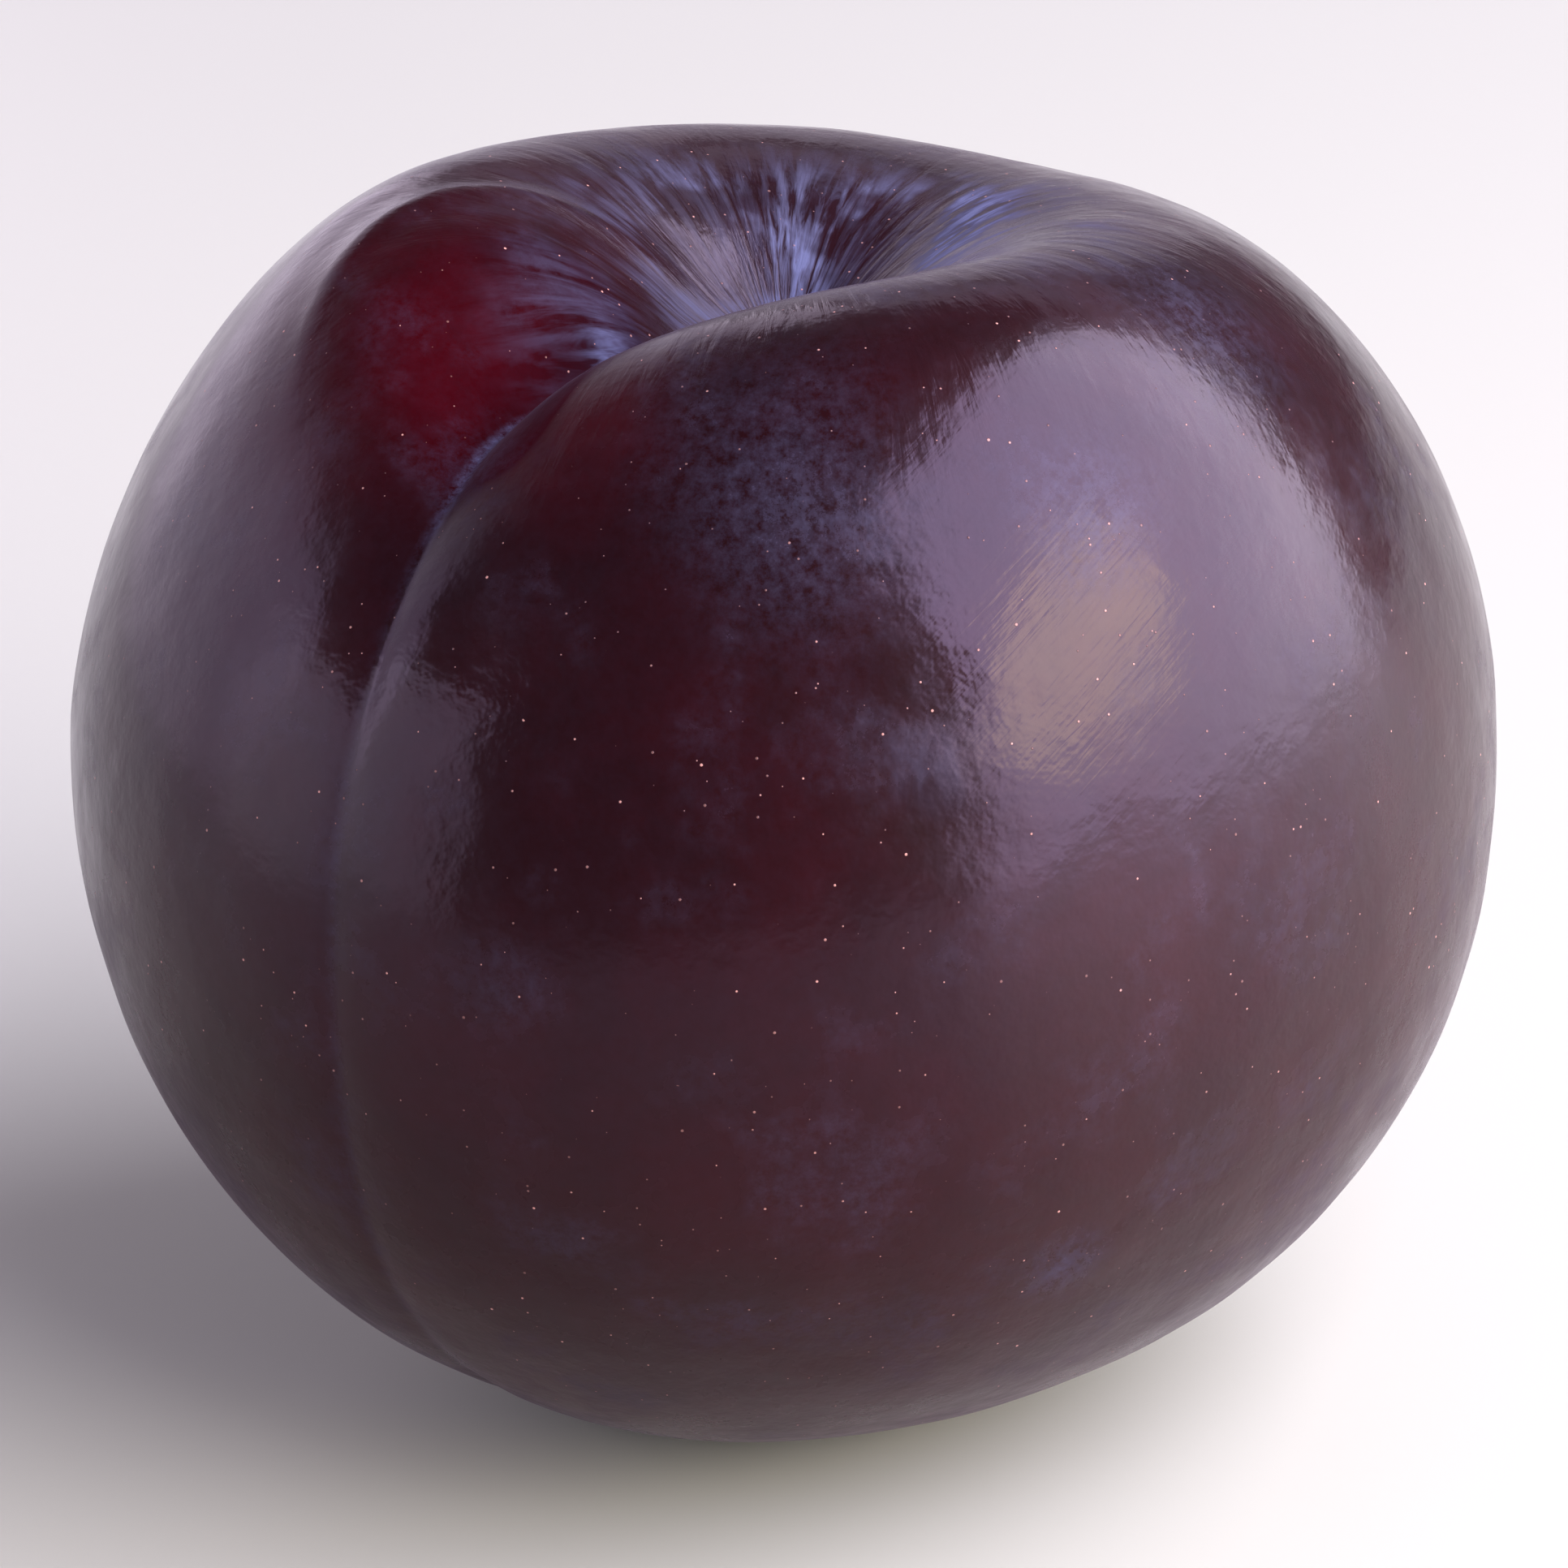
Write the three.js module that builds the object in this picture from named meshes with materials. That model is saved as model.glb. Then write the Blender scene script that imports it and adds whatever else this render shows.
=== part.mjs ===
// A dark plum, grown in one piece. Millimetres, +Z up from the blossom end to the stem end.
// The seam line down its front faces -Y, and +X is to the right of it.
// The fruit stands on a small flat spot, with the origin in the middle below it.
// The skin is one closed surface: a ball of directions, each pushed out to the skin's radius there.

import * as THREE from 'three';
import { mergeVertices } from 'three/addons/utils/BufferGeometryUtils.js';

const DEGREE = Math.PI / 180;

// Body: half widths at the equator, reach to the stem end and to the blossom end from the middle,
// and how full the shoulders and the lower half are (2 is an ellipsoid, more is squarer).
const halfWidthX = 31.0;
const halfWidthY = 33.2;
const reachTop = 28.0;
const reachBottom = 28.8;
const fullnessTop = 2.16;
const fullnessBottom = 2.08;

// How far below the middle the flat spot lies that the fruit rests on, and how softly the skin
// rounds into it.
const flatSpotDepth = 28.2;
const flatSpotRounding = 0.2;

// Swellings and dips of the flesh: azimuth from the seam towards +X, polar angle from the stem end,
// reach of the swelling over the skin, and its height.
const swellings = [
  { name: 'left lobe beside the seam', azimuth: -62, polar: 32, reach: 26, height: 2.0 },
  { name: 'edge of the left lobe', azimuth: -36, polar: 30, reach: 14, height: 1.8 },
  { name: 'right lobe beside the seam', azimuth: 62, polar: 33, reach: 26, height: 3.9 },
  { name: 'right shoulder', azimuth: 108, polar: 38, reach: 30, height: 2.0 },
  { name: 'left rear shoulder', azimuth: -118, polar: 46, reach: 26, height: 0.4 },
  { name: 'fold behind the left lobe', azimuth: -122, polar: 22, reach: 10, height: -0.6 },
  { name: 'rear saddle of the rim', azimuth: 188, polar: 29, reach: 14, height: -1.0 },
  { name: 'lower left', azimuth: -50, polar: 125, reach: 30, height: -1.7 },
  { name: 'lower right', azimuth: 125, polar: 130, reach: 30, height: 0.9 },
  { name: 'belly near the blossom end', azimuth: 15, polar: 150, reach: 30, height: 0.3 },
];

// Stem hollow: depth, radius where it has lost most of its depth, steepness of its wall,
// a small pit at its floor, and how far its middle stands from the fruit's axis.
const hollowDepth = 9.4;
const hollowRadius = 8.9;
const hollowSteepness = 2.1;
const hollowOffsetX = 0.9;
const pitDepth = 1.0;
const pitRadius = 2.5;
const pitSteepness = 1.5;
// The hollow is wider towards the rear.
const hollowFlare = 1.5;
const flareAzimuth = 200;
const flareReach = 60;
// Radius at which directions near the stem end are read as millimetres across the hollow.
const crownRadius = 28;

// Seam: the line wanders off its meridian in three bends, in degrees of azimuth: two on the shoulder
// and a long one from the equator down.
const seamBends = [
  { azimuth: 6, polar: 16, reach: 10 },
  { azimuth: -7, polar: 31, reach: 12 },
  { azimuth: 5, polar: 105, reach: 55 },
];
// The valley that the seam runs in is deepest on the shoulder. Its right side is steep. Its left side
// has a steep part by the crease and a broad part that rises to the left lobe.
const valleyDepth = 7.5;
const valleyPolar = 21;
const valleyReach = 19;
const valleyDepthBelow = 0.15;
const valleyRight = [{ share: 1, width: 3.3, shape: 1.4 }];
const valleyLeft = [
  { share: 0.45, width: 2.5, shape: 2 },
  { share: 0.55, width: 8, shape: 2 },
];
// The fine crease at the bottom of the valley, which goes on to the blossom end.
const creaseDepth = 0.5;
const creasePolar = 32;
const creaseReach = 20;
const creaseDepthBelow = 0.3;
const creaseWidth = 0.9;
const creaseRounding = 0.06;
// Radius at which an angle beside the seam is read as millimetres.
const seamRadius = 30;
// Polar angle at which the seam, coming from the middle of the stem hollow, has its full depth.
const seamStart = 13;

// Grid of the ball: squares along each side of a cube, crowded towards the middle of each side,
// so that the stem hollow and the seam get the finest facets.
const gridSquares = 28;
const gridCrowding = 1.25;

function wrapAngle(angle) {
  return Math.atan2(Math.sin(angle), Math.cos(angle));
}

function bell(distance, reach) {
  return Math.exp(-((distance / reach) ** 2));
}

function smoothStep(value) {
  const t = Math.min(Math.max(value, 0), 1);
  return t * t * (3 - 2 * t);
}

// Radius of the smooth body, without lobes, hollow or seam.
function bodyRadius(direction) {
  const across = Math.hypot(direction.x / halfWidthX, direction.y / halfWidthY);
  const reach = direction.z >= 0 ? reachTop : reachBottom;
  const fullness = direction.z >= 0 ? fullnessTop : fullnessBottom;
  const along = Math.abs(direction.z) / reach;
  return (across ** fullness + along ** fullness) ** (-1 / fullness);
}

function swellingHeight(direction) {
  let height = 0;
  for (const swelling of swellings) {
    const polar = swelling.polar * DEGREE;
    const azimuth = swelling.azimuth * DEGREE;
    const centre = new THREE.Vector3(
      Math.sin(polar) * Math.sin(azimuth),
      -Math.sin(polar) * Math.cos(azimuth),
      Math.cos(polar),
    );
    height += swelling.height * bell(direction.angleTo(centre) / DEGREE, swelling.reach);
  }
  return height;
}

// Depth of the valley and crease of the seam.
function seamDepth(direction) {
  const polar = Math.acos(direction.z) / DEGREE;
  let seamAzimuth = 0;
  for (const bend of seamBends) {
    seamAzimuth += bend.azimuth * DEGREE * bell(polar - bend.polar, bend.reach);
  }
  const azimuth = Math.atan2(direction.x, -direction.y);
  const beside = wrapAngle(azimuth - seamAzimuth);
  const frontOnly = smoothStep((1 + Math.cos(beside)) / 2);
  const across = Math.sin(beside) * Math.hypot(direction.x, direction.y) * seamRadius;
  let valleyShare = 0;
  for (const part of across > 0 ? valleyRight : valleyLeft) {
    valleyShare += part.share * Math.exp(-((Math.abs(across) / part.width) ** part.shape));
  }
  const valley = valleyDepth * bell(polar - valleyPolar, valleyReach) + valleyDepthBelow;
  const crease = creaseDepth * bell(polar - creasePolar, creaseReach) + creaseDepthBelow;
  const creaseShare = Math.exp(-Math.sqrt((across / creaseWidth) ** 2 + creaseRounding));
  const begun = smoothStep(polar / seamStart);
  return begun * frontOnly * (valley * valleyShare + crease * creaseShare);
}

// Depth of the stem hollow and the pit at its floor.
function stemHollowDepth(direction) {
  if (direction.z < 0) {
    return 0;
  }
  const x = direction.x * crownRadius - hollowOffsetX;
  const y = direction.y * crownRadius;
  const distance = Math.hypot(x, y);
  const turn = wrapAngle(Math.atan2(x, -y) - flareAzimuth * DEGREE) / DEGREE;
  const radius = hollowRadius + hollowFlare * bell(turn, flareReach);
  const hollow = hollowDepth * Math.exp(-((distance / radius) ** hollowSteepness));
  return hollow + pitDepth * Math.exp(-((distance / pitRadius) ** pitSteepness));
}

function skinRadius(direction) {
  return (
    bodyRadius(direction) +
    swellingHeight(direction) -
    seamDepth(direction) -
    stemHollowDepth(direction)
  );
}

// A corner of the cube's grid, from -1 to 1 along a side, turned into a tangent for the ball.
function crowded(coordinate) {
  const share = Math.abs(coordinate) ** gridCrowding;
  return Math.sign(coordinate) * Math.tan((share * Math.PI) / 4);
}

// Height of a point once the blossom end is pressed flat where the fruit rests.
function pressedFlat(z) {
  const above = z + flatSpotDepth;
  if (above >= flatSpotRounding) {
    return z;
  }
  const share = Math.max((above + flatSpotRounding) / (2 * flatSpotRounding), 0);
  return flatSpotRounding * share * share - flatSpotDepth;
}

function plumGeometry() {
  const cube = new THREE.BoxGeometry(2, 2, 2, gridSquares, gridSquares, gridSquares);
  cube.deleteAttribute('normal');
  cube.deleteAttribute('uv');
  const geometry = mergeVertices(cube);
  const position = geometry.getAttribute('position');
  const direction = new THREE.Vector3();
  for (let i = 0; i < position.count; i += 1) {
    direction.fromBufferAttribute(position, i);
    direction.set(crowded(direction.x), crowded(direction.y), crowded(direction.z)).normalize();
    direction.multiplyScalar(skinRadius(direction));
    position.setXYZ(i, direction.x, direction.y, pressedFlat(direction.z));
  }
  geometry.computeBoundingBox();
  const middle = geometry.boundingBox.getCenter(new THREE.Vector3());
  geometry.translate(-middle.x, -middle.y, -geometry.boundingBox.min.z);
  geometry.computeVertexNormals();
  return geometry;
}

// Dark purple-red skin under a thin wax bloom.
const skin = new THREE.MeshStandardMaterial({ color: 0x3a1420, roughness: 0.32, metalness: 0 });

const plum = new THREE.Mesh(plumGeometry(), skin);
plum.name = 'plum';

const fruit = new THREE.Group();
fruit.add(plum);

export default fruit;
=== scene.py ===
"""A dark plum with its waxy skin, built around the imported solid, in a small studio."""

import math

import bmesh
import bpy
from bpy.props import FloatProperty, FloatVectorProperty, IntProperty, PointerProperty
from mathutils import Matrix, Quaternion, Vector, noise


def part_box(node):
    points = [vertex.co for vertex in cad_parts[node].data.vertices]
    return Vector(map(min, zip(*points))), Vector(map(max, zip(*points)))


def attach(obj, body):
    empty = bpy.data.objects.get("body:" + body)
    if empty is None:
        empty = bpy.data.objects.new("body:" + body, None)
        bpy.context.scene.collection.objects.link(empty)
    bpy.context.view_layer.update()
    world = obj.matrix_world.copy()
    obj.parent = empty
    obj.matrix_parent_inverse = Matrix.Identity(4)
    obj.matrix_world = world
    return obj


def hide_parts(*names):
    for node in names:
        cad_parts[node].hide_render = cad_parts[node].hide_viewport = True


bl_info = {
    "name": "Dark plum",
    "version": (1, 0, 0),
    "blender": (4, 5, 0),
    "location": "3D View > Sidebar > Plum",
    "description": "Builds a whole dark plum with bloom, pores and scars, and its studio",
    "category": "Object",
}

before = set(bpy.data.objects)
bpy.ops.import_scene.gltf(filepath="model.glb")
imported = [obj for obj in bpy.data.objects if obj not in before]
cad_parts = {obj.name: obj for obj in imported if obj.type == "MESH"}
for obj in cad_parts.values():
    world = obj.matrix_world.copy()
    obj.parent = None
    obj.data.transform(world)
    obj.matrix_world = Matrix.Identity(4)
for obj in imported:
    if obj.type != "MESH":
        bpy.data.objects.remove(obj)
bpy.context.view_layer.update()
solid_low, solid_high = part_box("plum")

MM = 0.001

# Swellings and dips of the flesh, as on the solid: azimuth from the seam towards +X, polar angle
# from the stem end and reach over the skin, all in degrees, and height in millimetres.
SWELLINGS = (
    (-62, 32, 26, 2.0),  # left lobe beside the seam
    (-36, 30, 14, 1.8),  # edge of the left lobe
    (62, 33, 26, 3.9),  # right lobe beside the seam
    (108, 38, 30, 2.0),  # right shoulder
    (-118, 46, 26, 0.4),  # left rear shoulder
    (-122, 22, 10, -0.6),  # fold behind the left lobe
    (188, 29, 14, -1.0),  # rear saddle of the rim
    (-50, 125, 30, -1.7),  # lower left
    (125, 130, 30, 0.9),  # lower right
    (15, 150, 30, 0.3),  # belly near the blossom end
)
# The seam's bends off its meridian: azimuth, polar angle and reach in degrees.
SEAM_BENDS = ((6, 16, 10), (-7, 31, 12), (5, 105, 55))

# Fullness of the body above and below its middle: 2 is an ellipsoid, more is squarer.
FULLNESS_TOP = 2.16
FULLNESS_BOTTOM = 2.08

# Stem hollow: steepness of its wall, how far its middle stands from the axis, the pit at its floor,
# and how much wider it is towards the rear, with that flare's azimuth and reach in degrees. The
# crown's radius is where directions near the stem end are read as millimetres across the hollow.
HOLLOW_STEEPNESS = 2.1
HOLLOW_OFFSET = 0.9
PIT_DEPTH = 1.0
PIT_RADIUS = 2.5
PIT_STEEPNESS = 1.5
HOLLOW_FLARE = 1.5
FLARE_AZIMUTH = 200
FLARE_REACH = 60
CROWN_RADIUS = 28

# The seam's valley and the fine crease in it, in millimetres, with polar angles and their reaches
# in degrees. Each side of the valley has parts with a share, a width and a power. The seam's radius
# is where an angle beside it is read as millimetres. It has its full depth from its start on.
VALLEY_POLAR = 21
VALLEY_REACH = 19
VALLEY_DEPTH_BELOW = 0.15
VALLEY_LEFT = ((0.45, 2.5, 2.0), (0.55, 8.0, 2.0))
VALLEY_RIGHT = ((1.0, 3.3, 1.4),)
CREASE_DEPTH = 0.5
CREASE_POLAR = 32
CREASE_REACH = 20
CREASE_DEPTH_BELOW = 0.3
CREASE_WIDTH = 0.9
CREASE_ROUNDING = 0.06
SEAM_RADIUS = 30
SEAM_START = 13

# How softly the skin rounds into the flat spot that the fruit rests on, in millimetres.
FLAT_SPOT_ROUNDING = 0.2

# The crest of the left lobe: a low ridge with a dip behind it that runs from the lobe's front into
# the hollow. Azimuth and polar angle of its middle in degrees, how its azimuth turns with the polar
# angle, its reach in degrees, its width and the dip's, and how far the dip lies behind it.
CREST_AZIMUTH = -54
CREST_POLAR = 26
CREST_TURN = 1.36
CREST_REACH = 13
CREST_WIDTH = 0.9
DIP_WIDTH = 2.0
DIP_OFFSET = 2.9

# Gentle waves of the skin: how many in a radian, their share of the height and where the pattern
# starts.
WAVES = ((3.2, 1.0, (7.1, 2.3, 5.9)), (9.0, 0.35, (1.7, 8.2, 3.3)))
# Wrinkles that fan out of the stem hollow: how many in a radian round it and in a millimetre out
# from it, their share of the height and where the pattern starts.
WRINKLES = ((22, 0.12, 1.0, 0.0), (48, 0.2, 0.6, 4.0))
# Distances from the stem in millimetres where the wrinkles start and end, and over which they
# rise and fade.
WRINKLE_START = 1.0
WRINKLE_RISE = 3
WRINKLE_END = 19
WRINKLE_FADE = 10

# The scar where the stalk sat: a rim and the sunken floor inside it, in millimetres.
RIM_HEIGHT = 0.3
RIM_RADIUS = 1.7
RIM_WIDTH = 0.5
SCAR_DEPTH = 0.35
SCAR_RADIUS = 1.2

# How strongly the skin's grid crowds towards the stem hollow and the seam.
GRID_CROWDING = 1.25

# Patches on the skin: place in millimetres, reach in millimetres and strength.
# Where the skin turns crimson, on both lobes beside the seam.
BLUSH_PATCHES = (
    ((-6.5, -17.6, 52.5), 13, 0.42),
    ((4.4, -19.5, 52.3), 7, 0.35),
)
# Where specks of bloom gather, on the right lobe and in a spot low on the right.
SPECK_PATCHES = (
    ((13.8, -17.2, 53.0), 8, 0.12),
    ((17.0, -18.5, 49.9), 7, 0.1),
    ((20.6, 3.4, 54.2), 8, 0.1),
    ((23.9, -8.5, 50.2), 5, 0.16),
    ((26.3, -12.6, 16.9), 3, 0.16),
)
# Where bloom lies thickest, on the rear wall of the stem hollow.
THICK_PATCHES = (
    ((1.4, 10.1, 52.3), 7, 0.5),
    ((-4.1, 3.4, 50.7), 6, 0.42),
)
# Where a haze of bloom lies: in the top of the seam, thinly round it, and on the right lobe.
HAZE_PATCHES = (
    ((-2.0, -9.3, 50.7), 2.2, 0.7),
    ((-3.4, -10.5, 51.8), 6, 0.12),
    ((23.3, -18.0, 41.5), 2.6, 0.12),
)
# Where the skin is dull: the flank of the left lobe, beside the seam, and the rear of the hollow. On
# the flank of the left lobe the dullness is painted shade that dims its reflections. A negative
# strength is a place rubbed shiny.
DULL_AND_SHADE_PATCHES = (
    # Painted shade on the flank of the left lobe: less gloss and wax film there dim its reflections.
    ((-3.7, -13.0, 51.7), 16, 1.4),
    ((2.5, -21.5, 50.0), 10, 0.6),
    ((2.5, 9.5, 53.0), 8, 0.7),
    ((28.0, -11.0, 28.0), 16, -0.45),
)
# Where fine scratches show and how deep they are in millimetres, the two directions in the skin
# along and across them, and their length and spacing in millimetres.
SCRATCH_PATCHES = (((25.1, -10.5, 47.3), 14, 0.02),)
SCRATCH_ALONG = (0.35, 0.68, 0.64)
SCRATCH_ACROSS = (-0.565, -0.324, 0.653)
SCRATCH_LENGTH = 3.5
SCRATCH_SPACING = 0.28

# Typical sizes of the skin's patterns, in millimetres: rubbing, crimson mottling, broad bloom,
# specks of bloom and shallow dents.
RUBBED_SIZE = 6
MOTTLE_SIZE = 9
BLOOM_SIZE = 6
SPECK_SIZE = 0.7
DENT_SIZE = 3.2

# Lines that fan out of the hollow in the material: how many in a radian round it and in a
# millimetre out from it.
FAN_ROUND = 17.0
FAN_OUT = 0.3
# Heights of the relief that is too fine for the mesh, in millimetres: those lines near the hollow
# and far from it, dents and pores.
FAN_HEIGHT = 0.06
FAN_HEIGHT_FAR = 0.005
DENT_HEIGHT = 0.09
PORE_HEIGHT = 0.02

# Distances from the stem, in millimetres, over which the stalk's scar fades out and the flower's
# scar sets in. At the blossom end the distance reaches twice the crown's radius.
STALK_SCAR = (1.2, 2.3)
FLOWER_SCAR = (53.8, 54.8)

# Heights in millimetres between which the low side's look gives way to the upper side's. Low down
# the skin is browner and its reflections are tinted darker, as painted shade.
LOW_SIDE_START = 10
LOW_SIDE_END = 50

# How strongly clean skin reflects, and how dullness, painted shade on the left lobe's flank, bloom
# and the low side change that.
GLOSS = 0.5
GLOSS_CHANGE_DULL_AND_SHADE = -0.5
GLOSS_CHANGE_WAX = -0.4
GLOSS_CHANGE_LOW = -0.4
# What bloom, the low side, dullness and cork add to the roughness, and the most it may be.
ROUGH_ADDED_WAX = 0.7
ROUGH_ADDED_LOW = 0.12
ROUGH_ADDED_DULL = 0.15
ROUGH_ADDED_CORK = 0.5
ROUGHEST = 0.8
# The film of wax on top of the skin, where nothing has dulled it and no painted shade on the left
# lobe's flank takes it away.
COAT = 0.12
COAT_ROUGHNESS = 0.4
# The faint sheen that powdery wax gives where the skin turns away.
SHEEN = 0.06
SHEEN_ROUGHNESS = 0.35
# Matte paint of the floor.
PAINT_ROUGHNESS = 0.4
# Usual refractive index of wax, and of the binder in paint.
WAX_IOR = 1.45
PAINT_IOR = 1.45

# Colours of the studio's lights.
WHITE_LIGHT = "fffefe"
SKY_LIGHT = "f9f7ff"
HAZE_LIGHT = "f4e6f9"
WARM_LIGHT = "fff07e"
# Light panels: name, azimuth from the seam towards +X and elevation in degrees, distance in
# metres, width and height in metres, watts, colour, roll in degrees and shape.
PANELS = (
    ("left_near_panel", -31, 9, 0.4, (0.31, 0.34), 0.55, WHITE_LIGHT, 8, "RECTANGLE"),
    ("left_far_panel", -90, 12, 0.4, (0.67, 0.44), 1.22, HAZE_LIGHT, 0, "RECTANGLE"),
    ("right_panel", 114, 33, 0.4, (0.75, 0.66), 9.3, SKY_LIGHT, 0, "RECTANGLE"),
    ("warm_lamp", 94, 18, 0.38, (0.26, 0.14), 0.5, WARM_LIGHT, 0, "ELLIPSE"),
    ("back_panel", -125, 4, 0.7, (0.75, 0.34), 0.32, HAZE_LIGHT, 0, "RECTANGLE"),
    ("top_back_panel", -175, 36, 0.7, (1.0, 0.18), 0.25, HAZE_LIGHT, 0, "RECTANGLE"),
)
# Faint light from all round.
AIR_COLOUR = (0.9, 0.92, 1.0, 1.0)
AIR_STRENGTH = 0.08

# Camera: sensor in millimetres, the picture's width and the focal length in pixels, and the
# height that it aims at in millimetres.
SENSOR_WIDTH = 36.0
PICTURE_WIDTH = 1932
FOCAL_LENGTH = 13178
AIM_HEIGHT = 27.4

# Names of the values that the skin's pattern reads at each point, in millimetres.
SEAM_DISTANCE = "seam_distance"
STEM_DISTANCE = "stem_distance"


def linear_colour(code):
    """Turns an sRGB hex code into linear red, green, blue and alpha."""
    channels = [int(code[i : i + 2], 16) / 255 for i in (0, 2, 4)]
    linear = [c / 12.92 if c <= 0.04045 else ((c + 0.055) / 1.055) ** 2.4 for c in channels]
    return (*linear, 1.0)


def distance_property(name, description, millimetres):
    """A length that a user may change, shown in the scene's units."""
    return FloatProperty(
        name=name,
        description=description,
        default=millimetres * MM,
        min=0.0,
        subtype="DISTANCE",
        unit="LENGTH",
    )


def colour_property(name, description, code):
    """A colour that a user may change."""
    return FloatVectorProperty(
        name=name,
        description=description,
        default=linear_colour(code),
        size=4,
        min=0.0,
        max=1.0,
        subtype="COLOR",
    )


class PlumShapeSettings(bpy.types.PropertyGroup):
    """Sizes of the fruit."""

    half_width_x: distance_property(
        "Half width across", "Middle to side, across the seam's plane", 31.0
    )
    half_width_y: distance_property(
        "Half width along", "Middle to front, in the seam's plane", 33.2
    )
    reach_top: distance_property(
        "Reach to stem end", "Middle to stem end, without the hollow", 28.0
    )
    reach_bottom: distance_property(
        "Reach to blossom end", "Middle to blossom end, before pressing flat", 28.8
    )
    flat_spot_depth: distance_property(
        "Flat spot depth", "Middle to the flat spot it rests on", 28.2
    )
    hollow_depth: distance_property("Hollow depth", "Depth of the stem hollow", 9.4)
    hollow_radius: distance_property("Hollow radius", "Radius of the stem hollow", 8.9)
    seam_depth: distance_property(
        "Seam depth", "Depth of the seam's valley on the shoulder", 7.5
    )
    undulation: distance_property("Undulation", "Height of the gentle waves in the skin", 0.12)
    crest: distance_property("Crest", "Height of the low ridge along the left lobe", 0.42)
    wrinkle: distance_property(
        "Wrinkle", "Height of the fine wrinkles round the stem hollow", 0.04
    )
    grid_cuts: IntProperty(
        name="Grid cuts",
        description="Cuts along each side of the cube that the skin starts from",
        default=127,
        min=7,
        max=127,
    )


class PlumSkinSettings(bpy.types.PropertyGroup):
    """Colours and finish of the skin."""

    dark: colour_property("Dark skin", "Ripest skin, almost black", "1c050a")
    blush: colour_property("Blush", "Crimson where the skin is thinner", "480410")
    brown: colour_property("Brown skin", "Brownish purple low on the fruit", "281015")
    bloom: colour_property("Bloom", "Powdery wax on the skin", "6a6c98")
    cast: colour_property(
        "Cast", "Violet cast that the wax gives to what the skin reflects", "e4ccff"
    )
    # Painted shade: a darker, brownish tint that dims what the skin reflects low on the fruit.
    low_cast_and_shade: colour_property(
        "Low cast", "Brownish cast of what the skin reflects low down", "a6848e"
    )
    pore: colour_property("Pores", "Pale dots in the skin", "cf9390")
    scar: colour_property("Scars", "Dry cork where stalk and flower sat", "5b4233")
    pore_spacing: distance_property(
        "Pore spacing", "Typical distance between pores in the flesh", 0.6
    )


class PlumStudioSettings(bpy.types.PropertyGroup):
    """Floor, lights and camera."""

    floor: colour_property("Floor", "Plain pale floor", "c6c4c3")
    floor_size: FloatProperty(
        name="Floor size",
        description="Side of the square floor",
        default=6.0,
        min=0.5,
        subtype="DISTANCE",
        unit="LENGTH",
    )
    camera_azimuth: FloatProperty(
        name="Camera azimuth",
        description="Side that the camera stands on, from the seam towards +X",
        default=math.radians(40),
        subtype="ANGLE",
        unit="ROTATION",
    )
    camera_elevation: FloatProperty(
        name="Camera elevation",
        description="Height of the camera above the horizon",
        default=math.radians(25),
        subtype="ANGLE",
        unit="ROTATION",
    )
    camera_distance: distance_property(
        "Camera distance", "From the fruit's middle to the camera", 480
    )


def wrap_angle(angle):
    """The same angle between half a turn back and half a turn on."""
    return math.atan2(math.sin(angle), math.cos(angle))


def bell(distance, reach):
    """Falls smoothly from 1 in the middle to about a third at its reach."""
    return math.exp(-((distance / reach) ** 2))


def smooth_step(value):
    """Rises smoothly from 0 to 1 while the value does."""
    share = min(max(value, 0.0), 1.0)
    return share * share * (3 - 2 * share)


def direction_from(azimuth, polar):
    """Unit vector at an azimuth from the seam towards +X and a polar angle from the stem end."""
    return Vector(
        (
            math.sin(polar) * math.sin(azimuth),
            -math.sin(polar) * math.cos(azimuth),
            math.cos(polar),
        )
    )


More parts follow.
